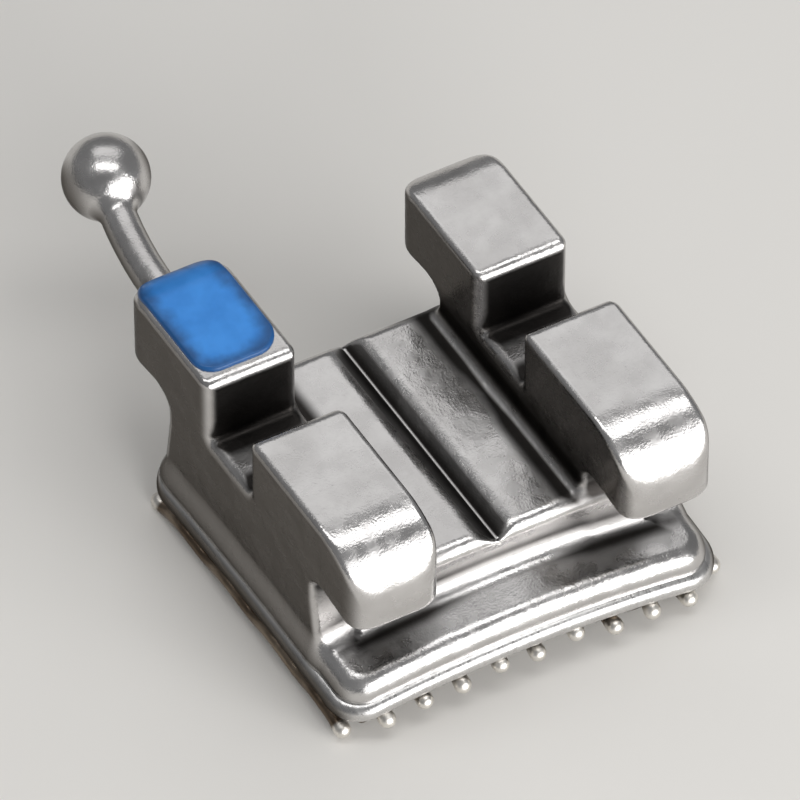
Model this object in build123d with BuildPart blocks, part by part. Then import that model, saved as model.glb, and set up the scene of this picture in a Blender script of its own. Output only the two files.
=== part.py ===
from build123d import *
import os
from math import cos, radians, sin, sqrt, tan

# Orthodontic bracket for an upper right canine, of the twin kind: four tie wings, a slot and a ball hook.
# Sizes are in millimetres. The origin is the middle of the bonding pad, on the plane its corners stand on.
# +X is mesial and runs along the archwire slot, +Y is gingival, and +Z is labial, away from the tooth.

# Archwire slot
slot_opening = 0.559  # the 0.022 inch slot
slot_depth = 0.74  # wing tops down to the slot's floor
slot_mouth_radius = 0.10
slot_floor_radius = 0.05
slot_offset = 0.35  # the slot's centre line lies this far gingival of the pad's middle
tip_angle = 8.0  # the flanks lean distally by this much, as a canine's long axis does

# Tie wings
wing_top = 2.35  # above the plane that the pad stands on
group_width = 3.10  # across both pairs of wings, flank to flank
saddle_gap = 1.52  # clear width between the two pairs
occlusal_reach = 1.80  # slot's centre line to the tips of the occlusal wings
gingival_reach = 1.50
occlusal_roll = 0.62  # radius with which an occlusal wing rolls down to its tip
gingival_roll = 0.36
tip_depth = 0.89  # wing tops down to the underside of the tips
lip_radius = 0.15  # under the tip of a wing
undercut_rise = 0.12  # the underside climbs by this much from the lip to the neck
undercut_radius = 0.16
occlusal_neck = 1.14  # slot's centre line to the neck under the occlusal wings
gingival_neck = 0.84
neck_flare = 0.14  # the neck spreads by this much on its way down to the foot
flare_drop = 0.24  # underside of the tips down to where the neck starts to spread
wing_corner_radius = 0.26  # corners of the wings, seen from the front

# Saddle between the pairs
saddle_drop = 0.39  # slot's floor down to the saddle
saddle_occlusal = 1.22  # slot's centre line to the saddle's occlusal end
saddle_gingival = 0.94
saddle_end_radius = 0.12
scribe_width = 0.30  # V groove on the long axis, for setting the bracket on the tooth
scribe_depth = 0.10

# Ball hook on the disto-gingival wing
stem_diameter = 0.29
ball_diameter = 0.70
ball_drop = 0.43  # wing tops down to the centre of the ball
root_drop = 0.49  # wing tops down to the centre of the stem where it leaves the wing
hook_reach = 2.66  # slot's centre line to the centre of the ball
hook_inset = 0.21  # the ball lies this far mesial of the wing's middle line
hook_bow = 0.08  # the stem bows by this much to the distal side
root_depth = 0.30  # length of stem inside the wing

# Bonding pad: a foil with a woven mesh brazed under it, both curved to the tooth
pad_width = 3.32
pad_length = 2.90
pad_corner_radius = 0.32
foil_thickness = 0.16
foil_edge_break = 0.04
mesh_thickness = 0.20
mesh_pitch = 0.3175  # 80 wires to the inch
wire_width = 0.13
wire_sides = 8  # a wire is drawn with eight flats, one of them against the tooth
weft_thickness = 0.12  # the wires across the tooth, which lie on those along it
wire_shoulder = 0.03  # braze beside each wire that runs along the tooth
tooth_radius_across = 7.0  # mesio-distal curve of the tooth
tooth_radius_along = 13.0  # occluso-gingival curve

# Foot of the body, on the foil
foot_margin = 0.07  # the foil shows by this much all round the foot
foot_thickness = 0.20
foot_edge_break = 0.05

# Colour mark on the disto-gingival wing
mark_thickness = 0.035
mark_margin = 0.04  # left bare along the wing's flanks and tip
mark_slot_margin = 0.11  # left bare along the slot
mark_corner_radius = 0.20

# Worked out from the sizes above
margin = 1.0  # cutters run past the part by this much
lean = radians(tip_angle)
slot_y = slot_offset
slot_floor = wing_top - slot_depth
saddle_height = slot_floor - saddle_drop
tip_height = wing_top - tip_depth
flare_height = tip_height - flare_drop
occlusal_tip, gingival_tip = slot_y - occlusal_reach, slot_y + gingival_reach
occlusal_wall, gingival_wall = slot_y - occlusal_neck, slot_y + gingival_neck
wing_width = (group_width - saddle_gap) / 2
wing_middle = (group_width - wing_width) / 2
foil_top = mesh_thickness + foil_thickness  # above the tooth's surface, as foot_top is
foot_top = foil_top + foot_thickness


def leaning(x, y):
    """Plan point beside the leaning long axis."""
    return (x - tan(lean) * y, y)


def leaning_plan(x_low, x_high, y_low, y_high, radius):
    """Plan of a leaning box with rounded corners, on the plane z = 0."""
    corners = (x_low, y_low), (x_high, y_low), (x_high, y_high), (x_low, y_high)
    with BuildSketch() as plan:
        with BuildLine():
            FilletPolyline(*[leaning(x, y) for x, y in corners], radius=radius, close=True)
        make_face()
    return plan.sketch


def dome_drop(x, y):
    """How far the tooth's surface lies below its crown at a plan point."""
    beside = x * cos(lean) + y * sin(lean)
    along = y * cos(lean) - x * sin(lean)
    reach = tooth_radius_along - tooth_radius_across + sqrt(tooth_radius_across**2 - beside**2)
    return tooth_radius_along - sqrt(reach**2 - along**2)


pad_plan = leaning_plan(-pad_width / 2, pad_width / 2, -pad_length / 2, pad_length / 2, pad_corner_radius)
foot_side, foot_end = pad_width / 2 - foot_margin, pad_length / 2 - foot_margin
foot_plan = leaning_plan(-foot_side, foot_side, -foot_end, foot_end, pad_corner_radius - foot_margin)

# The pad's rounded corners are its lowest points, and the crown's height sets them on the plane z = 0
corner_steps = 40
crown = 0
for corner in pad_plan.edges().filter_by(GeomType.CIRCLE):
    for step in range(corner_steps + 1):
        low_point = corner.position_at(step / corner_steps)
        crown = max(crown, dome_drop(low_point.X, low_point.Y))
dome_axis = Axis((0, 0, crown - tooth_radius_along), (cos(lean), sin(lean), 0))
long_axis = Vector(-sin(lean), cos(lean), 0)
across_tooth = Plane(origin=(0, 0, crown), x_dir=dome_axis.direction, z_dir=-long_axis)


def dome_arc(height):
    """Low end, middle and high end of the arc at a height above the tooth, in the plane across it."""
    radius = tooth_radius_across + height
    end = sqrt(radius**2 - group_width**2) - tooth_radius_across
    return (-group_width, end), (0, height), (group_width, end)


def dome_layer(low, high, wires=()):
    """Section across the tooth of the layer between two heights above its surface, with any wires in it."""
    with BuildSketch(across_tooth) as section:
        with BuildLine():
            under, over = dome_arc(low), dome_arc(high)
            ThreePointArc(*under)
            ThreePointArc(*over)
            Line(under[0], over[0])
            Line(under[2], over[2])
        make_face()
        for wire in wires:
            with Locations(wire):
                half_turn = 180 / wire_sides
                RegularPolygon(wire_width / 2, wire_sides, major_radius=False, rotation=half_turn)
    return section.sketch


def dome_core(high):
    """Section across the tooth of all that lies under a height above its surface."""
    with BuildSketch(across_tooth) as section:
        with BuildLine():
            over = dome_arc(high)
            ThreePointArc(*over)
            floor = over[0][1] - margin
            Polyline(over[2], (group_width, floor), (-group_width, floor), over[0])
        make_face()
    return section.sketch


# The foil
with BuildPart() as base_foil:
    revolve(dome_layer(mesh_thickness, foil_top), axis=dome_axis)
    extrude(pad_plan, amount=wing_top, mode=Mode.INTERSECT)
    rim = base_foil.faces().sort_by(SortBy.AREA)[-2:].sort_by(Axis.Z)[-1]
    chamfer(rim.edges(), foil_edge_break)

# The mesh under it: wires along the tooth are ridges on a wall, with a square gap between each two wires
wire_count = 2 * int((pad_width / 2 - wire_width) / mesh_pitch) + 1
wire_radius = wire_width / 2
wire_turn = mesh_pitch / (tooth_radius_across + wire_radius)
wire_places = []
for wire in range(wire_count):
    turn = (wire - (wire_count - 1) / 2) * wire_turn
    reach = tooth_radius_across + wire_radius
    wire_places.append((reach * sin(turn), reach * cos(turn) - tooth_radius_across))
with BuildSketch(Plane(origin=(0, 0, 0), x_dir=dome_axis.direction)) as gap_field:
    with GridLocations(mesh_pitch, mesh_pitch, wire_count + 1, wire_count + 1):
        Rectangle(mesh_pitch - wire_width - wire_shoulder, mesh_pitch - wire_width)
whole_gaps = gap_field.sketch.faces().filter_by(lambda gap: pad_plan.face().is_inside(gap.center()))
whole_gaps = whole_gaps.filter_by(lambda gap: gap.distance_to(pad_plan.wire()) > wire_radius)
with BuildPart() as base_mesh:
    revolve(dome_layer(mesh_thickness - weft_thickness, mesh_thickness, wire_places), axis=dome_axis)
    extrude(pad_plan, amount=wing_top, mode=Mode.INTERSECT)
    extrude(whole_gaps, amount=crown + foil_top, mode=Mode.SUBTRACT)

# Side view of the wings, without the slot: y, z and radius of each corner
side_corners = [
    (occlusal_tip, wing_top, occlusal_roll),
    (gingival_tip, wing_top, gingival_roll),
    (gingival_tip, tip_height, lip_radius),
    (gingival_wall, tip_height + undercut_rise, undercut_radius),
    (gingival_wall, flare_height, neck_flare),
    (gingival_wall + neck_flare, 0, 0),
    (occlusal_wall - neck_flare, 0, 0),
    (occlusal_wall, flare_height, neck_flare),
    (occlusal_wall, tip_height + undercut_rise, undercut_radius),
    (occlusal_tip, tip_height, lip_radius),
]
with BuildSketch(Plane.YZ) as wing_side:
    with BuildLine():
        points = [(y, z) for y, z, radius in side_corners]
        FilletPolyline(*points, radius=[radius for y, z, radius in side_corners], close=True)
    make_face()

# The saddle that carries the two pairs
saddle_low, saddle_high = slot_y - saddle_occlusal, slot_y + saddle_gingival
with BuildPart() as saddle:
    with BuildSketch(Plane.YZ):
        with BuildLine():
            FilletPolyline(
                (saddle_low, saddle_height),
                (saddle_high, saddle_height),
                (saddle_high, 0),
                (saddle_low, 0),
                radius=(saddle_end_radius, saddle_end_radius, 0, 0),
                close=True,
            )
        make_face()
    extrude(amount=group_width, both=True)
    inner = leaning_plan(-wing_middle, wing_middle, occlusal_tip, gingival_tip, 0)
    extrude(inner, amount=wing_top, mode=Mode.INTERSECT)

# The foot that spreads the body on the foil
with BuildPart() as foot:
    revolve(dome_layer(foil_top, foot_top), axis=dome_axis)
    extrude(foot_plan, amount=wing_top, mode=Mode.INTERSECT)
    ledge = foot.faces().sort_by(SortBy.AREA)[-2:].sort_by(Axis.Z)[-1]
    chamfer(ledge.edges(), foot_edge_break)

# The moulded body
hook_y = slot_y + hook_reach
root_y = gingival_tip - root_depth
root = (*leaning(-wing_middle, root_y), wing_top - root_drop)
ball = (*leaning(hook_inset - wing_middle, hook_y), wing_top - ball_drop)
bow = ((root[0] + ball[0]) / 2 - hook_bow, (root[1] + ball[1]) / 2, (root[2] + ball[2]) / 2)
slot_plane = Plane(origin=(0, slot_y, slot_floor), x_dir=(0, 1, 0), z_dir=(1, 0, 0))
scribe_plane = Plane(origin=(0, 0, saddle_height), x_dir=dome_axis.direction, z_dir=-long_axis)

with BuildPart() as bracket_body:
    extrude(wing_side.sketch, amount=group_width, both=True)
    with BuildSketch() as wing_front:
        for middle in (-wing_middle, wing_middle):
            low, high = middle - wing_width / 2, middle + wing_width / 2
            add(leaning_plan(low, high, occlusal_tip, gingival_tip, wing_corner_radius))
    extrude(amount=wing_top, mode=Mode.INTERSECT)
    add(saddle)
    add(foot)
    with BuildSketch(slot_plane):
        with BuildLine():
            half = slot_opening / 2
            flare = half + slot_mouth_radius
            shoulder = slot_depth - slot_mouth_radius
            walls = (-half, shoulder), (-half, 0), (half, 0), (half, shoulder)
            FilletPolyline(*walls, radius=slot_floor_radius)
            CenterArc((-flare, shoulder), slot_mouth_radius, 0, 90)
            CenterArc((flare, shoulder), slot_mouth_radius, 90, 90)
            Polyline(
                (-flare, slot_depth),
                (-flare, slot_depth + margin),
                (flare, slot_depth + margin),
                (flare, slot_depth),
            )
        make_face()
    extrude(amount=group_width, both=True, mode=Mode.SUBTRACT)
    with BuildSketch(scribe_plane):
        with BuildLine():
            half = scribe_width / 2
            Polyline((-half, 0), (0, -scribe_depth), (half, 0), (0, scribe_depth), close=True)
        make_face()
    extrude(amount=pad_length, both=True, mode=Mode.SUBTRACT)
    revolve(dome_core(foil_top), axis=dome_axis, mode=Mode.SUBTRACT)
    with BuildLine() as stem:
        ThreePointArc(root, bow, ball)
    with BuildSketch(Plane(origin=root, z_dir=stem.edges()[0] % 0)):
        Circle(stem_diameter / 2)
    sweep(path=stem.edges()[0])
    with Locations(ball):
        Sphere(ball_diameter / 2)

# The colour mark lies on the crest of the disto-gingival wing and follows it
with BuildPart() as id_mark:
    coat = offset(wing_side.sketch, amount=mark_thickness, mode=Mode.PRIVATE)
    extrude(coat, amount=group_width, both=True)
    low, high = mark_margin - group_width / 2, -saddle_gap / 2 - mark_margin
    near, far = slot_y + slot_opening / 2 + mark_slot_margin, gingival_tip - mark_margin
    cover = leaning_plan(low, high, near, far, mark_corner_radius)
    extrude(cover, amount=wing_top + margin, mode=Mode.INTERSECT)
    split(bisect_by=Plane.XY.offset(wing_top - gingival_roll), keep=Keep.TOP)
    add(bracket_body, mode=Mode.SUBTRACT)

os.makedirs("parts", exist_ok=True)
bracket_body.part.label = "bracket_body"
export_step(bracket_body.part, "parts/bracket_body.step")
base_foil.part.label = "base_foil"
export_step(base_foil.part, "parts/base_foil.step")
base_mesh.part.label = "base_mesh"
export_step(base_mesh.part, "parts/base_mesh.step")
id_mark.part.label = "id_mark"
export_step(id_mark.part, "parts/id_mark.step")
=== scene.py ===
import bpy
import numpy as np
import openvdb
from math import atan2, cos, hypot, pi, radians, sin, sqrt, tan
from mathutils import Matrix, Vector


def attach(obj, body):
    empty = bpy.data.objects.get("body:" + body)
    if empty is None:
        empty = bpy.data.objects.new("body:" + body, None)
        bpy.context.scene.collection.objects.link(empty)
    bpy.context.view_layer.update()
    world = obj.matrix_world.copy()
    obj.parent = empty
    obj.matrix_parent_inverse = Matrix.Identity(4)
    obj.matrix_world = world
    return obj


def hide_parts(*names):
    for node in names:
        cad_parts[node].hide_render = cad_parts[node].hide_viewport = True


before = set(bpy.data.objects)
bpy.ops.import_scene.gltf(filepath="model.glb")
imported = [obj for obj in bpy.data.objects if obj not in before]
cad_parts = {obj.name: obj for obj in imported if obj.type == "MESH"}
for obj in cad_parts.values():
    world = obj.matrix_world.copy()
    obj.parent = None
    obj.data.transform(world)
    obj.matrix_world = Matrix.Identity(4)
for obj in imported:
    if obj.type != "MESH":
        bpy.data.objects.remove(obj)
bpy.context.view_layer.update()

# Sizes in millimetres, the same as the model's. +X is mesial, +Y is gingival and +Z is labial.
MM = 0.001

# Archwire slot
slot_opening, slot_depth, slot_offset = 0.559, 0.74, 0.35
slot_floor_radius = 0.05
slot_mouth_radius = 0.10
tip_angle = 8.0

# Tie wings
wing_top = 2.35
group_width, saddle_gap = 3.10, 1.52
occlusal_reach, gingival_reach = 1.80, 1.50
occlusal_roll, gingival_roll = 0.62, 0.36
tip_depth = 0.89
lip_radius = 0.15
undercut_rise, undercut_radius = 0.12, 0.16
occlusal_neck, gingival_neck = 1.14, 0.84
neck_flare, flare_drop = 0.14, 0.24
wing_corner_radius = 0.26
wing_edge_radius = 0.055
neck_fillet = 0.14  # where the necks meet the foot

# Saddle
saddle_drop = 0.39
saddle_occlusal, saddle_gingival = 1.22, 0.94
saddle_end_radius = 0.12
saddle_fillet = 0.11
scribe_width, scribe_depth = 0.30, 0.10
scribe_edge_radius = 0.03

# Ball hook
stem_diameter, ball_diameter = 0.29, 0.70
ball_drop, root_drop = 0.43, 0.49
hook_reach, hook_inset, hook_bow = 2.66, 0.21, 0.08
root_depth = 0.30
hook_fillet = 0.07

# Bonding pad
pad_width, pad_length, pad_corner_radius = 3.32, 2.90, 0.32
foil_thickness, mesh_thickness = 0.16, 0.20
foil_edge_radius = 0.07
tooth_radius_across, tooth_radius_along = 7.0, 13.0
foot_margin, foot_thickness, foot_edge_radius = 0.07, 0.20, 0.15
foot_seat = 0.03  # the body's underside is hidden this deep in the foil, so that the seam is clean
mesh_pitch = 0.3175
wire_radius = 0.055
weave_rise = 0.043  # a wire's centre line rises and falls by this much
wire_end = 0.045  # the sheared wires stand proud of the foil's edge by this much
weft_inset = 0.06  # and those across the tooth end short of it by this much
bead_radius, bead_length = 0.072, 0.07  # of the brazing alloy that gathers on a wire's end

# Colour mark
mark_thickness, mark_edge_radius = 0.035, 0.03
mark_margin, mark_slot_margin, mark_corner_radius = 0.04, 0.11, 0.20

# How far out a point looks for walls that shade it, and how far in it looks for an edge
recess_reaches = (0.12, 0.25, 0.45, 0.8)
ridge_reach = 0.07
rim_reach = 0.20  # the paint darkens this far in from its rim

# Low and high corners of the leaning box that holds each piece
body_box = (-1.62, -1.48, 0.32), (1.62, 3.38, 2.36)
foil_box = (-1.67, -1.46, 0.18), (1.67, 1.46, 0.70)
mark_box = (-1.55, 0.70, 1.95), (-0.76, 1.86, 2.40)

# Fineness of the meshes
body_cell, foil_cell, mark_cell = 0.024, 0.026, 0.014
border_cells = 3  # a box is this many cells larger than its corners
settling_steps = 3  # that bring a point onto its surface
least_steepness = 0.25
slope_nudge = 1e-4
corner_steps = 40
wire_sides, steps_per_pitch = 12, 8
fewest_points = 6  # a shorter stretch of wire is left out
dome_turns = (80, 55, 28)  # degrees round a wire's domed end, from its tip
far = 1e3  # further than any point of the part
no_length = 1e-9

# Worked out from the sizes above
lean = radians(tip_angle)
slot_y = slot_offset
slot_floor = wing_top - slot_depth
saddle_height = slot_floor - saddle_drop
tip_height = wing_top - tip_depth
flare_height = tip_height - flare_drop
occlusal_tip, gingival_tip = slot_y - occlusal_reach, slot_y + gingival_reach
occlusal_wall, gingival_wall = slot_y - occlusal_neck, slot_y + gingival_neck
wing_width = (group_width - saddle_gap) / 2
wing_middle = (group_width - wing_width) / 2
foil_top = mesh_thickness + foil_thickness
foot_top = foil_top + foot_thickness
foot_side, foot_end = pad_width / 2 - foot_margin, pad_length / 2 - foot_margin


# Outlines made of straight runs and arcs


class Outline:
    """A closed outline run anticlockwise, with a rounded corner at each point. No radius is zero."""

    def __init__(self, corners):
        self.runs, self.arcs = [], []
        points = [np.array(corner[:2], float) for corner in corners]
        count = len(points)
        joins = []
        for index, (a, b, radius) in enumerate(corners):
            here, before, after = points[index], points[index - 1], points[(index + 1) % count]
            into = (here - before) / np.linalg.norm(here - before)
            out = (after - here) / np.linalg.norm(after - here)
            turn = atan2(into[0] * out[1] - into[1] * out[0], float(into @ out))
            reach = radius * tan(abs(turn) / 2)
            start, end = here - into * reach, here + out * reach
            side = 1.0 if turn > 0 else -1.0
            centre = start + side * radius * np.array([-into[1], into[0]])
            first = atan2(*(start - centre)[::-1])
            self.arcs.append((centre, radius, first, turn, side))
            joins.append((start, end))
        for index in range(count):
            start, end = joins[index][1], joins[(index + 1) % count][0]
            length = np.linalg.norm(end - start)
            if length > no_length:
                self.runs.append((start, (end - start) / length, length))

    def distance(self, a, b):
        """Distance from points (a, b) to the outline, negative inside it."""
        nearest = np.full(np.broadcast(a, b).shape, far)
        for start, way, length in self.runs:
            da, db = a - start[0], b - start[1]
            along = np.clip(da * way[0] + db * way[1], 0, length)
            gap = np.hypot(da - along * way[0], db - along * way[1])
            outside = np.where(da * way[1] - db * way[0] > 0, gap, -gap)
            nearest = np.where(gap < np.abs(nearest), outside, nearest)
        for centre, radius, first, turn, side in self.arcs:
            da, db = a - centre[0], b - centre[1]
            angle = np.mod((np.arctan2(db, da) - first) * side, 2 * pi)
            gap = (np.hypot(da, db) - radius) * side
            beside = (angle <= abs(turn)) & (np.abs(gap) < np.abs(nearest))
            nearest = np.where(beside, gap, nearest)
        return nearest


def leaning(x, y):
    """Plan point beside the leaning long axis."""
    return x - tan(lean) * y, y


def leaning_outline(x_low, x_high, y_low, y_high, radius):
    """Plan of a leaning box with rounded corners."""
    corners = ((x_low, y_low), (x_high, y_low), (x_high, y_high), (x_low, y_high))
    return Outline([(*leaning(x, y), radius) for x, y in corners])


# Ways of joining signed distances


def union_round(a, b, radius):
    """Both forms, with a fillet of that radius where they meet."""
    fillet = np.hypot(np.maximum(radius - a, 0), np.maximum(radius - b, 0))
    return np.maximum(radius, np.minimum(a, b)) - fillet


def common_round(a, b, radius):
    """What lies in both forms, with its new edges rounded."""
    edge = np.hypot(np.maximum(radius + a, 0), np.maximum(radius + b, 0))
    return np.minimum(-radius, np.maximum(a, b)) + edge


# The tooth's surface


def tooth_drop(x, y):
    """How far the tooth's surface lies below its crown at a plan point."""
    beside, along = x * cos(lean) + y * sin(lean), y * cos(lean) - x * sin(lean)
    reach = tooth_radius_along - tooth_radius_across + sqrt(tooth_radius_across**2 - beside**2)
    return tooth_radius_along - sqrt(reach**2 - along**2)


pad_side, pad_end = pad_width / 2, pad_length / 2
pad_outline = leaning_outline(-pad_side, pad_side, -pad_end, pad_end, pad_corner_radius)
crown = 0.0
for centre, radius, first, turn, side in pad_outline.arcs:
    for step in range(corner_steps + 1):
        angle = first + turn * step / corner_steps
        rim_x, rim_y = centre[0] + radius * cos(angle), centre[1] + radius * sin(angle)
        crown = max(crown, tooth_drop(rim_x, rim_y))


def height_above_tooth(x, y, z):
    """Distance from the tooth's surface, negative inside the tooth."""
    beside, along = x * cos(lean) + y * sin(lean), y * cos(lean) - x * sin(lean)
    from_axis = np.hypot(along, z - crown + tooth_radius_along)
    return np.hypot(beside, from_axis - tooth_radius_along + tooth_radius_across) - tooth_radius_across


def point_on_tooth(across, along, height):
    """The point at arc lengths across and along the tooth from its crown, and at a height above it."""
    turn_across, turn_along = across / tooth_radius_across, along / tooth_radius_along
    radius = tooth_radius_across + height
    from_axis = tooth_radius_along - tooth_radius_across + radius * np.cos(turn_across)
    beside, lengthwise = radius * np.sin(turn_across), from_axis * np.sin(turn_along)
    z = crown - tooth_radius_along + from_axis * np.cos(turn_along)
    x, y = beside * cos(lean) - lengthwise * sin(lean), beside * sin(lean) + lengthwise * cos(lean)
    return np.stack(np.broadcast_arrays(x, y, z), -1)


# The moulded body as one signed distance

least = 0.004  # radius of a corner that is sharp on the real thing
side_outline = Outline([
    (occlusal_wall - neck_flare, 0.0, least),
    (gingival_wall + neck_flare, 0.0, least),
    (gingival_wall, flare_height, neck_flare),
    (gingival_wall, tip_height + undercut_rise, undercut_radius),
    (gingival_tip, tip_height, lip_radius),
    (gingival_tip, wing_top, gingival_roll),
    (occlusal_tip, wing_top, occlusal_roll),
    (occlusal_tip, tip_height, lip_radius),
    (occlusal_wall, tip_height + undercut_rise, undercut_radius),
    (occlusal_wall, flare_height, neck_flare),
])
saddle_outline = Outline([
    (slot_y - saddle_occlusal, 0.0, least),
    (slot_y + saddle_gingival, 0.0, least),
    (slot_y + saddle_gingival, saddle_height, saddle_end_radius),
    (slot_y - saddle_occlusal, saddle_height, saddle_end_radius),
])
slot_outline = Outline([
    (slot_y - slot_opening / 2, slot_floor, slot_floor_radius),
    (slot_y + slot_opening / 2, slot_floor, slot_floor_radius),
    (slot_y + slot_opening / 2, wing_top + 1.0, least),
    (slot_y - slot_opening / 2, wing_top + 1.0, least),
])
half_wing = wing_width / 2
wing_outlines = [
    leaning_outline(x - half_wing, x + half_wing, occlusal_tip, gingival_tip, wing_corner_radius)
    for x in (-wing_middle, wing_middle)
]
foot_corner_radius = pad_corner_radius - foot_margin
foot_outline = leaning_outline(-foot_side, foot_side, -foot_end, foot_end, foot_corner_radius)

hook_y = slot_y + hook_reach
root = np.array([*leaning(-wing_middle, gingival_tip - root_depth), wing_top - root_drop])
ball = np.array([*leaning(hook_inset - wing_middle, hook_y), wing_top - ball_drop])
bow = (root + ball) / 2 - np.array([hook_bow, 0, 0])


def stem_frame():
    """Centre, radius and the three directions of the arc that the stem follows."""
    chord, rise = ball - root, bow - (root + ball) / 2
    half, sag = np.linalg.norm(chord) / 2, np.linalg.norm(rise)
    radius = (half**2 + sag**2) / (2 * sag)
    up = rise / sag
    along = chord / (2 * half)
    return bow - up * radius, radius, up, along, np.cross(up, along), half


stem_centre, stem_radius, stem_up, stem_along, stem_side, stem_half = stem_frame()


def stem_distance(x, y, z):
    dx, dy, dz = x - stem_centre[0], y - stem_centre[1], z - stem_centre[2]
    up = dx * stem_up[0] + dy * stem_up[1] + dz * stem_up[2]
    along = dx * stem_along[0] + dy * stem_along[1] + dz * stem_along[2]
    side = dx * stem_side[0] + dy * stem_side[1] + dz * stem_side[2]
    reach = np.clip(np.arctan2(along, up), -stem_half / stem_radius, stem_half / stem_radius)
    du, da = up - stem_radius * np.cos(reach), along - stem_radius * np.sin(reach)
    return np.sqrt(du**2 + da**2 + side**2) - stem_diameter / 2


def body_distance(x, y, z):
    height = height_above_tooth(x, y, z)
    wings = np.minimum(wing_outlines[0].distance(x, y), wing_outlines[1].distance(x, y))
    towers = common_round(side_outline.distance(y, z), wings, wing_edge_radius)
    foot = common_round(height - foot_top, foot_outline.distance(x, y), foot_edge_radius)
    inner = (np.abs(x + tan(lean) * y) - wing_middle) * cos(lean)
    saddle = np.maximum(saddle_outline.distance(y, z), inner)
    body = union_round(towers, saddle, saddle_fillet)
    body = union_round(body, foot, neck_fillet)
    body = common_round(body, -slot_outline.distance(y, z), slot_mouth_radius)
    across = np.abs(x * cos(lean) + y * sin(lean))
    half, depth = scribe_width / 2, scribe_depth
    groove = (across * depth + np.abs(z - saddle_height) * half - half * depth) / hypot(half, depth)
    body = common_round(body, -groove, scribe_edge_radius)
    hook = np.sqrt((x - ball[0]) ** 2 + (y - ball[1]) ** 2 + (z - ball[2]) ** 2) - ball_diameter / 2
    hook = union_round(stem_distance(x, y, z), hook, hook_fillet)
    body = union_round(body, hook, hook_fillet)
    return np.maximum(body, foil_top - foot_seat - height)


def foil_distance(x, y, z):
    height = height_above_tooth(x, y, z)
    return common_round(
        np.maximum(height - foil_top, mesh_thickness - height), pad_outline.distance(x, y), foil_edge_radius
    )


mark_outline = leaning_outline(
    mark_margin - group_width / 2,
    -saddle_gap / 2 - mark_margin,
    slot_y + slot_opening / 2 + mark_slot_margin,
    gingival_tip - mark_margin,
    mark_corner_radius,
)


def mark_distance(x, y, z):
    crest = side_outline.distance(y, z)
    paint = common_round(crest - mark_thickness, mark_outline.distance(x, y), mark_edge_radius)
    paint = np.maximum(paint, wing_top - gingival_roll - z)
    return np.maximum(paint, -crest - mark_thickness)


# From a signed distance to a mesh


def skin(name, distance, low, high, cell):
    """Object whose surface is where the distance is zero, inside a box that leans as the flanks do."""
    low, high = np.array(low) - border_cells * cell, np.array(high) + border_cells * cell
    counts = np.ceil((high - low) / cell).astype(int) + 1
    x, y, z = [low[axis] + cell * np.arange(counts[axis]) for axis in range(3)]
    field = distance(*leaning(x[:, None, None], y[None, :, None]), z[None, None, :])
    grid = openvdb.FloatGrid(1.0)
    grid.copyFromArray(np.ascontiguousarray(np.broadcast_to(field, counts), dtype=np.float32))
    points, quads = grid.convertToQuads()
    points = low + np.asarray(points, float) * cell
    points[:, 0] = leaning(points[:, 0], points[:, 1])[0]
    for step in range(settling_steps):
        value, slope = value_and_slope(distance, points)
        steep = np.maximum((slope**2).sum(1), least_steepness)
        points = points - np.clip(value / steep, -cell, cell)[:, None] * slope
    value, slope = value_and_slope(distance, points)
    normals = slope / np.maximum(np.linalg.norm(slope, axis=1), 1e-6)[:, None]
    piece = mesh_object(name, points, np.asarray(quads, int), normals)
    # The recess value measures how closed in a point is. The materials use it to decide where to paint
    # shade.
    openness = [distance(*(points + normals * reach).T) / reach for reach in recess_reaches]
    recess = 1 - sum(openness) / len(openness)
    # The ridge value measures how near a point is to a convex edge.
    ridge = 1 + distance(*(points - normals * ridge_reach).T) / ridge_reach
    keep_values(piece, recess=recess, ridge=ridge, flank=np.abs(normals[:, 0]), level=normals[:, 2])
    return piece


def keep_values(piece, **named):
    """Store a number from 0 to 1 for each point, for the materials."""
    for label, values in named.items():
        attribute = piece.data.attributes.new(label, "FLOAT", "POINT")
        attribute.data.foreach_set("value", np.clip(values, 0, 1).astype(np.float32))


def value_and_slope(distance, points):
    """The signed distance at points and its slope there."""
    x, y, z = points.T
    nudge = slope_nudge
    value = distance(x, y, z)
    slope = np.stack([
        distance(x + nudge, y, z) - distance(x - nudge, y, z),
        distance(x, y + nudge, z) - distance(x, y - nudge, z),
        distance(x, y, z + nudge) - distance(x, y, z - nudge),
    ], 1) / (2 * nudge)
    return value, slope


def mesh_object(name, points, faces, normals=None):
    """Object with these points, in millimetres, and faces, turned to face along the normals."""
    if normals is not None:
        p = points[faces]
        face_normals = np.cross(p[:, 2] - p[:, 0], p[:, 3] - p[:, 1])
        if (face_normals * normals[faces[:, 0]]).sum() < 0:
            faces = faces[:, ::-1]
    mesh = bpy.data.meshes.new(name)
    mesh.from_pydata((points * MM).tolist(), [], faces.tolist())
    mesh.update()
    mesh.shade_smooth()
    if normals is not None:
        mesh.normals_split_custom_set_from_vertices(normals.tolist())
    piece = bpy.data.objects.new(name, mesh)
    bpy.context.scene.collection.objects.link(piece)
    return piece


# Pieces

steel_skin = skin("moulded_body", body_distance, *body_box, body_cell)
foil_skin = skin("brazed_foil", foil_distance, *foil_box, foil_cell)
mark_skin = skin("blue_paint_mark", mark_distance, *mark_box, mark_cell)
mark_points = np.array([vertex.co[:2] for vertex in mark_skin.data.vertices]) / MM
keep_values(mark_skin, rim=1 + mark_outline.distance(*mark_points.T) / rim_reach)


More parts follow.
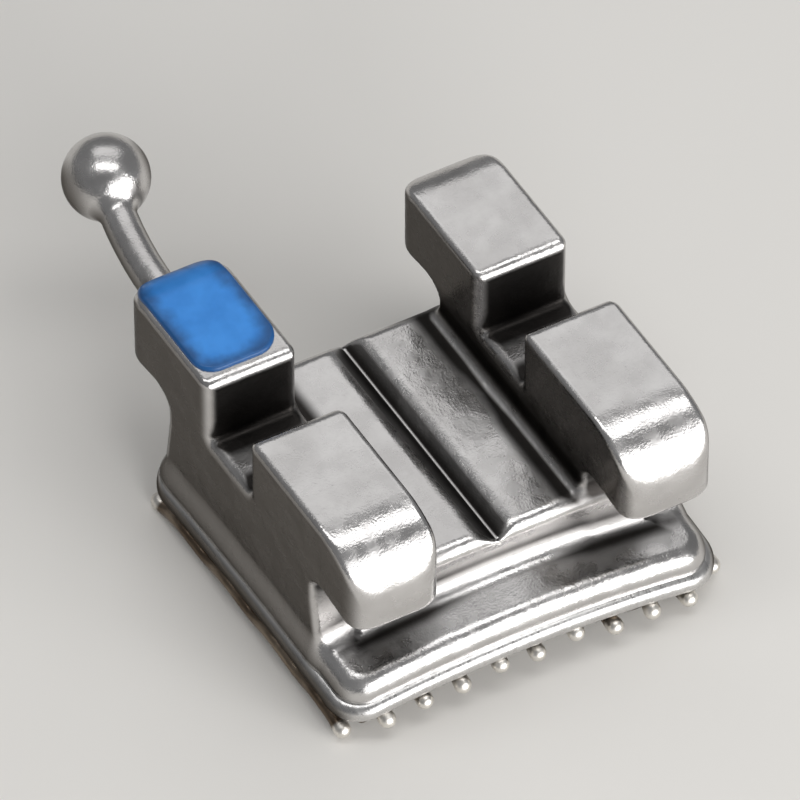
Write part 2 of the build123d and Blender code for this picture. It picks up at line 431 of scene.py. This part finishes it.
def woven_wires():
    """The wires of the mesh, over and under each other, cut to the pad's outline."""
    points, faces, beads = [], [], []
    reach = max(pad_width, pad_length)
    count = int(reach / mesh_pitch) + 2
    middle = mesh_thickness / 2
    steps = np.arange(-reach, reach, mesh_pitch / steps_per_pitch)
    for along_tooth in (True, False):
        for wire in range(-count, count + 1):
            place = (wire + (0.0 if along_tooth else 0.5)) * mesh_pitch
            sign = (-1) ** wire * (1 if along_tooth else -1)
            phase = pi * (steps / mesh_pitch - (0.5 if along_tooth else 0.0))
            height = middle + sign * weave_rise * np.cos(phase)
            across, lengthwise = (place, steps) if along_tooth else (steps, place)
            line = point_on_tooth(across, lengthwise, height)
            stop = (wire_end if along_tooth else -weft_inset) - wire_radius
            inside = pad_outline.distance(line[:, 0], line[:, 1]) < stop
            if inside.sum() < fewest_points:
                continue
            line = line[inside]
            run = np.concatenate([[0], np.cumsum(np.linalg.norm(np.diff(line, axis=0), axis=1))])
            bead = np.exp(-((np.minimum(run, run[-1] - run) / bead_length) ** 2)) * along_tooth
            add_tube(points, faces, beads, line, bead)
    points = np.array(points)
    points[:, 2] = np.maximum(points[:, 2], 0.0)
    piece = mesh_object("woven_wire_mesh", points, np.array(faces, int))
    keep_values(piece, bead=np.array(beads))
    return piece


def add_tube(points, faces, beads, line, bead):
    """A round wire along a line, thicker where there is a bead, with domed ends."""
    sides = wire_sides
    tangents = np.gradient(line, axis=0)
    tangents /= np.linalg.norm(tangents, axis=1)[:, None]
    up = np.array([0.0, 0.0, 1.0])
    radii = wire_radius + (bead_radius - wire_radius) * bead

    def dome_ring(end, way, angle):
        """One ring of the dome at an end of the line."""
        turn = radians(angle)
        shift = tangents[end] * way * radii[end] * sin(turn)
        return line[end] + shift, tangents[end], radii[end] * cos(turn), bead[end]

    rings = [dome_ring(0, -1, angle) for angle in dome_turns]
    rings += zip(line, tangents, radii, bead)
    rings += [dome_ring(-1, 1, angle) for angle in reversed(dome_turns)]
    first = len(points)
    for centre, tangent, radius, share in rings:
        beside = np.cross(tangent, up)
        beside /= np.linalg.norm(beside)
        above = np.cross(beside, tangent)
        for side in range(sides):
            angle = 2 * pi * side / sides
            points.append(centre + radius * (beside * cos(angle) + above * sin(angle)))
            beads.append(share)
    for ring in range(len(rings) - 1):
        for side in range(sides):
            here, there = first + ring * sides, first + (ring + 1) * sides
            following = (side + 1) % sides
            faces.append((here + side, there + side, there + following, here + following))
    last = first + (len(rings) - 1) * sides
    for step in range(sides // 2 - 1):
        cap = (-step % sides, step + 1, step + 2, (-step - 1) % sides)
        faces.append(tuple(first + corner for corner in cap))
        faces.append(tuple(last + corner for corner in reversed(cap)))


wires = woven_wires()

for piece, node, slot in (
    (steel_skin, "bracket_body", "moulded_steel"),
    (foil_skin, "base_foil", "foil_steel"),
    (wires, "base_mesh", "mesh_steel"),
    (mark_skin, "id_mark", "blue_paint"),
):
    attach(piece, "root")
    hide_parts(node)


# Materials


class Nodes:
    """A material's node tree, with short calls for the nodes that these finishes use."""

    def __init__(self, name):
        self.material = bpy.data.materials.new(name)
        self.material.use_nodes = True
        self.tree = self.material.node_tree
        self.shader = self.tree.nodes["Principled BSDF"]
        where = self.tree.nodes.new("ShaderNodeTexCoord")
        self.place = self.tree.nodes.new("ShaderNodeMapping")
        self.place.inputs["Scale"].default_value = (1 / MM,) * 3
        self.tree.links.new(where.outputs["Object"], self.place.inputs["Vector"])

    def set(self, **values):
        for name, value in values.items():
            self.shader.inputs[name.replace("_", " ")].default_value = value

    def feed(self, name, output):
        self.tree.links.new(output, self.shader.inputs[name])

    def noise(self, per_mm, detail=3.0, rough=0.5, stretch=None):
        node = self.tree.nodes.new("ShaderNodeTexNoise")
        node.inputs["Scale"].default_value = per_mm
        node.inputs["Detail"].default_value = detail
        node.inputs["Roughness"].default_value = rough
        source = self.place.outputs["Vector"]
        if stretch:
            squeeze = self.tree.nodes.new("ShaderNodeMapping")
            squeeze.inputs["Scale"].default_value = stretch[0]
            squeeze.inputs["Rotation"].default_value = stretch[1]
            self.tree.links.new(source, squeeze.inputs["Vector"])
            source = squeeze.outputs["Vector"]
        self.tree.links.new(source, node.inputs["Vector"])
        return node.outputs["Fac"]

    def attribute(self, name):
        node = self.tree.nodes.new("ShaderNodeAttribute")
        node.attribute_name = name
        return node.outputs["Fac"]

    def ramp(self, value, low, high, to_low=0.0, to_high=1.0):
        node = self.tree.nodes.new("ShaderNodeMapRange")
        node.interpolation_type = "SMOOTHSTEP"
        limits = {"From Min": low, "From Max": high, "To Min": to_low, "To Max": to_high}
        for label, number in limits.items():
            node.inputs[label].default_value = number
        self.tree.links.new(value, node.inputs["Value"])
        return node.outputs["Result"]

    def math(self, operation, a, b):
        node = self.tree.nodes.new("ShaderNodeMath")
        node.operation = operation
        for socket, value in zip(node.inputs, (a, b)):
            if isinstance(value, (int, float)):
                socket.default_value = value
            else:
                self.tree.links.new(value, socket)
        return node.outputs["Value"]

    def blend(self, share, a, b):
        """The number a, or b where the share is 1."""
        return self.math("ADD", a, self.math("MULTIPLY", share, self.math("SUBTRACT", b, a)))

    def mix(self, share, a, b):
        node = self.tree.nodes.new("ShaderNodeMix")
        node.data_type = "RGBA"
        self.tree.links.new(share, node.inputs["Factor"])
        for socket, value in ((node.inputs[6], a), (node.inputs[7], b)):
            if isinstance(value, tuple):
                socket.default_value = (*value, 1)
            else:
                self.tree.links.new(value, socket)
        return node.outputs[2]

    def bump(self, height, depth, strength=1.0, before=None):
        """A bump of that depth in millimetres."""
        node = self.tree.nodes.new("ShaderNodeBump")
        node.inputs["Strength"].default_value = strength
        node.inputs["Distance"].default_value = depth * MM
        self.tree.links.new(height, node.inputs["Height"])
        if before:
            self.tree.links.new(before, node.inputs["Normal"])
        return node.outputs["Normal"]


# Painted shade: the share of grazing reflection that a flank keeps, set as a specular tint that darkens the
# flanks
flank_shade_tint = (0.35, 0.34, 0.33)


def moulded_steel():
    """Tumbled steel: bright on the open faces, lighter along the edges and matt in the recesses, with
    painted shade that makes it darker on the flanks and darkest in the recesses.
    """
    n = Nodes("moulded steel")
    deep, level = n.attribute("recess"), n.ramp(n.attribute("level"), 0.75, 0.95)
    # Painted shade: the steel turns nearly black where it is closed in (in the slot, under the wings and
    # beside the towers). It is also more matt there.
    recess = n.blend(level, n.ramp(deep, 0.08, 0.42), n.ramp(deep, 0.26, 0.48))
    ridge = n.ramp(n.attribute("ridge"), 0.10, 0.40)
    # Painted shade: the steel is darkened on its flanks, the faces that look sideways, as if those faces
    # sat in shade.
    flank = n.ramp(n.attribute("flank"), 0.60, 0.98, 0.0, 0.95)
    clouds = n.ramp(n.noise(2.2, 4), 0.35, 0.70)
    open_steel = n.mix(clouds, (0.56, 0.545, 0.535), (0.65, 0.635, 0.625))
    open_steel = n.mix(flank, open_steel, (0.19, 0.18, 0.17))
    # The steel is lighter along its edges.
    edge_lightened = n.mix(ridge, open_steel, (0.72, 0.71, 0.70))
    n.feed("Base Color", n.mix(recess, edge_lightened, (0.035, 0.032, 0.030)))
    rough = n.math("ADD", n.ramp(n.noise(7.0, 4), 0.3, 0.7, 0.20, 0.30), n.math("MULTIPLY", recess, 0.22))
    n.feed("Roughness", n.math("SUBTRACT", rough, n.math("MULTIPLY", ridge, 0.05)))
    # Painted shade: the flanks keep only part of their grazing reflection.
    n.feed("Specular Tint", n.mix(flank, (1.0, 1.0, 1.0), flank_shade_tint))
    n.set(Metallic=1.0)
    grain = n.bump(n.noise(55.0, 2), 0.0016)
    dents = n.bump(n.noise(9.0, 3), 0.004, 0.8, grain)
    n.feed("Normal", n.bump(n.noise(2.45, 2), 0.016, 0.7, dents))
    return n.material


def foil_steel():
    """Rolled foil with a fine grain along the tooth, with painted shade that darkens its sides and its
    recesses.
    """
    n = Nodes("foil steel")
    # Painted shade: the foil darkens where it is closed in, under the body's foot.
    recess = n.ramp(n.attribute("recess"), 0.15, 0.7)
    along = ((14.0, 1.2, 14.0), (0, 0, -lean))
    # Painted shade: the foil's sides turn nearly black, forming the shaded band along the pad's edge.
    flank = n.ramp(n.attribute("flank"), 0.50, 0.90)
    base = n.mix(n.noise(3.0, 3), (0.56, 0.55, 0.54), (0.68, 0.67, 0.66))
    base = n.mix(flank, base, (0.12, 0.11, 0.10))
    # Painted shade: the foil's sides keep only part of their grazing reflection.
    n.feed("Specular Tint", n.mix(flank, (1.0, 1.0, 1.0), flank_shade_tint))
    n.feed("Base Color", n.mix(recess, base, (0.22, 0.21, 0.20)))
    n.feed("Roughness", n.ramp(n.noise(2.0, 3, 0.6, along), 0.3, 0.7, 0.24, 0.38))
    n.set(Metallic=1.0)
    n.feed("Normal", n.bump(n.noise(2.0, 3, 0.6, along), 0.003, 0.8))
    return n.material


def wire_steel():
    """Wires under a thin film of warm brazing alloy, made dark as painted shade so that the mesh reads as a
    shaded band. The beads on the wire ends stay bright.
    """
    n = Nodes("wire steel")
    # Painted shade: the warm braze colour is kept dark so that the mesh reads as shaded between the bright
    # beads.
    shaded_braze = n.mix(n.ramp(n.noise(3.0, 4), 0.35, 0.65), (0.12, 0.090, 0.065), (0.24, 0.195, 0.15))
    n.feed("Base Color", n.mix(n.ramp(n.attribute("bead"), 0.35, 0.9), shaded_braze, (0.78, 0.75, 0.70)))
    n.feed("Roughness", n.ramp(n.noise(12.0, 3), 0.3, 0.7, 0.28, 0.45))
    n.set(Metallic=1.0)
    n.feed("Normal", n.bump(n.noise(18.0, 3), 0.003, 0.8))
    return n.material


def blue_paint():
    """Thick blue enamel, darker towards its rim."""
    n = Nodes("blue paint")
    rim = n.math("ADD", n.attribute("rim"), n.ramp(n.noise(5.0, 3), 0.3, 0.7, -0.14, 0.14))
    body = n.mix(n.ramp(n.noise(3.5, 3), 0.3, 0.7), (0.030, 0.23, 0.68), (0.050, 0.30, 0.82))
    n.feed("Base Color", n.mix(n.ramp(rim, 0.25, 1.0), body, (0.014, 0.085, 0.25)))
    n.feed("Roughness", n.ramp(n.noise(10.0, 3), 0.3, 0.7, 0.28, 0.40))
    n.set(Specular_IOR_Level=0.3, Coat_Weight=0.15, Coat_Roughness=0.12)
    n.feed("Normal", n.bump(n.noise(6.0, 3), 0.006, 0.6))
    return n.material


steel_skin.data.materials.append(moulded_steel())
foil_skin.data.materials.append(foil_steel())
wires.data.materials.append(wire_steel())
mark_skin.data.materials.append(blue_paint())

# Floor, light and camera

scene = bpy.context.scene
centre = Vector((0.0, 0.62, 1.15)) * MM


def floor_plane():
    """A pale floor that reaches half a metre each way."""
    half = 500 * MM
    mesh = bpy.data.meshes.new("floor")
    corners = [(-half, -half, 0), (half, -half, 0), (half, half, 0), (-half, half, 0)]
    mesh.from_pydata(corners, [], [(0, 1, 2, 3)])
    n = Nodes("pale floor")
    n.set(Base_Color=(0.82, 0.80, 0.765, 1), Roughness=0.9, Specular_IOR_Level=0.2)
    mesh.materials.append(n.material)
    floor = bpy.data.objects.new("floor", mesh)
    scene.collection.objects.link(floor)


floor_plane()
world = bpy.data.worlds.new("studio")
scene.world = world
world.use_nodes = True
sky = world.node_tree.nodes["Background"]
sky.inputs["Color"].default_value = (0.97, 0.98, 1.0, 1)
sky.inputs["Strength"].default_value = 0.22


def towards(azimuth, elevation):
    """Unit vector from the bracket towards a viewpoint. Azimuth 0 looks along +Y."""
    a, e = radians(azimuth), radians(elevation)
    return Vector((sin(a) * cos(e), -cos(a) * cos(e), sin(e)))


def lamp(name, azimuth, elevation, distance, width, height, brightness):
    """A soft rectangular light that faces the bracket, in millimetres. A brightness of 1 looks white."""
    light = bpy.data.lights.new(name, "AREA")
    light.shape = "RECTANGLE"
    light.size, light.size_y = width * MM, height * MM
    light.energy = brightness * pi * light.size * light.size_y
    holder = bpy.data.objects.new(name, light)
    back = towards(azimuth, elevation)
    holder.location = centre + back * distance * MM
    holder.rotation_euler = (-back).to_track_quat("-Z", "Y").to_euler()
    scene.collection.objects.link(holder)


view_azimuth, view_elevation, view_distance = -25.8, 56.3, 120.0
lamp("behind", view_azimuth + 180, 54, 60, 60, 34, 0.75)
lamp("overhead", view_azimuth, 86, 60, 60, 17, 3.2)
lamp("front", 15, 20, 60, 60, 42, 3.4)
lamp("low front", 14, 11, 60, 88, 25, 2.8)

camera_data = bpy.data.cameras.new("camera")
camera_data.lens = 700
camera_data.clip_start = 10 * MM
camera_data.clip_end = 2.0
camera = bpy.data.objects.new("camera", camera_data)
scene.collection.objects.link(camera)
scene.camera = camera
view_back = towards(view_azimuth, view_elevation)
camera.location = centre + view_back * view_distance * MM
camera.rotation_euler = (-view_back).to_track_quat("-Z", "Y").to_euler()

scene.view_settings.view_transform = "Standard"
